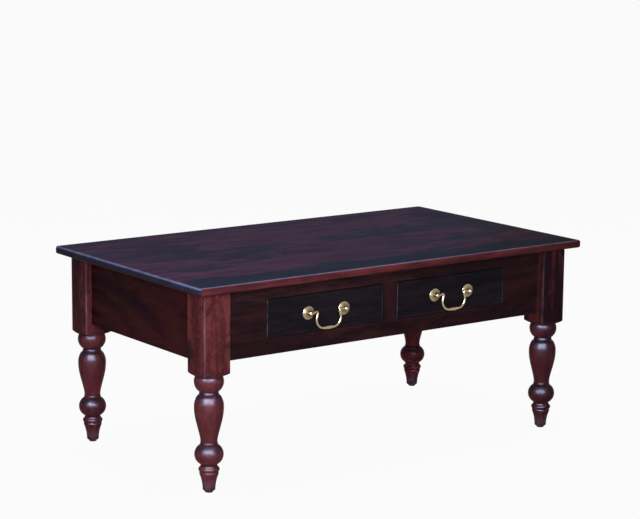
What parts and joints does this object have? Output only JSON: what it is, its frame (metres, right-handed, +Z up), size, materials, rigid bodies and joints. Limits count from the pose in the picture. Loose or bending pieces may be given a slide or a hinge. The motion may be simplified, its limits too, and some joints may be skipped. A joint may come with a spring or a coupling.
{
  "type": "coffee table with drawers",
  "caption": "Low rectangular coffee table with a plank top, turned legs and drawers in the front apron that open by swinging brass bail handles.",
  "frame": {"origin": "on the floor, under the middle of the top", "axes": "+X along the length, to the right seen from the drawers; drawers face -Y; +Z up"},
  "size_m": [1.067, 0.61, 0.457],
  "materials": {
    "top_wood": "dark purplish-brown stain, satin lacquer",
    "leg_wood": "dark reddish mahogany stain, satin lacquer",
    "apron_wood": "dark reddish-brown stain, satin lacquer",
    "drawer_front_wood": "near-black stain, satin lacquer",
    "inner_wood": "unstained hardwood, sanded",
    "brass": "satin polished",
    "steel": "zinc plated",
    "glide": "black"
  },
  "bodies": {
    "frame": {"apron_back": "apron_wood", "apron_left": "apron_wood", "apron_right": "apron_wood", "corner_block_back_left": "inner_wood", "corner_block_back_right": "inner_wood", "corner_block_front_left": "inner_wood", "corner_block_front_right": "inner_wood", "corner_block_screws": "steel", "drawer_stops": "inner_wood", "front_bottom_rail": "apron_wood", "front_stile_centre": "apron_wood", "front_stile_left": "apron_wood", "front_stile_right": "apron_wood", "front_top_rail": "apron_wood", "glide_back_left": "glide", "glide_back_right": "glide", "glide_front_left": "glide", "glide_front_right": "glide", "guide_centre": "inner_wood", "guide_left": "inner_wood", "guide_right": "inner_wood", "kicker_centre": "inner_wood", "kicker_left": "inner_wood", "kicker_right": "inner_wood", "leg_back_left": "leg_wood", "leg_back_right": "leg_wood", "leg_front_left": "leg_wood", "leg_front_right": "leg_wood", "runner_centre": "inner_wood", "runner_left": "inner_wood", "runner_right": "inner_wood", "top_board_1": "top_wood", "top_board_2": "top_wood", "top_board_3": "top_wood", "top_board_4": "top_wood", "top_board_5": "top_wood", "top_board_6": "top_wood", "top_button_screws": "steel", "top_buttons": "inner_wood"},
    "drawer_left": {"drawer_left_back": "inner_wood", "drawer_left_bottom": "inner_wood", "drawer_left_bottom_screws": "steel", "drawer_left_front": "drawer_front_wood", "drawer_left_handle_nuts": "steel", "drawer_left_handle_posts": "brass", "drawer_left_rosettes": "brass", "drawer_left_side_left": "inner_wood", "drawer_left_side_right": "inner_wood"},
    "drawer_right": {"drawer_right_back": "inner_wood", "drawer_right_bottom": "inner_wood", "drawer_right_bottom_screws": "steel", "drawer_right_front": "drawer_front_wood", "drawer_right_handle_nuts": "steel", "drawer_right_handle_posts": "brass", "drawer_right_rosettes": "brass", "drawer_right_side_left": "inner_wood", "drawer_right_side_right": "inner_wood"},
    "bail_left": {"bail_left": "brass"},
    "bail_right": {"bail_right": "brass"}
  },
  "joints": [
    {"name": "drawer_left_slide", "type": "slide", "parent": "frame", "child": "drawer_left", "axis": [0, -1, 0], "range_m": [0, 0.3]},
    {"name": "drawer_right_slide", "type": "slide", "parent": "frame", "child": "drawer_right", "axis": [0, -1, 0], "range_m": [0, 0.3]},
    {"name": "bail_left_swing", "type": "hinge", "parent": "drawer_left", "child": "bail_left", "pos_m": [-0.1765, -0.269, 0.363], "axis": [-1, 0, 0], "range_deg": [-8, 188]},
    {"name": "bail_right_swing", "type": "hinge", "parent": "drawer_right", "child": "bail_right", "pos_m": [0.1765, -0.269, 0.363], "axis": [-1, 0, 0], "range_deg": [-8, 188]}
  ]
}
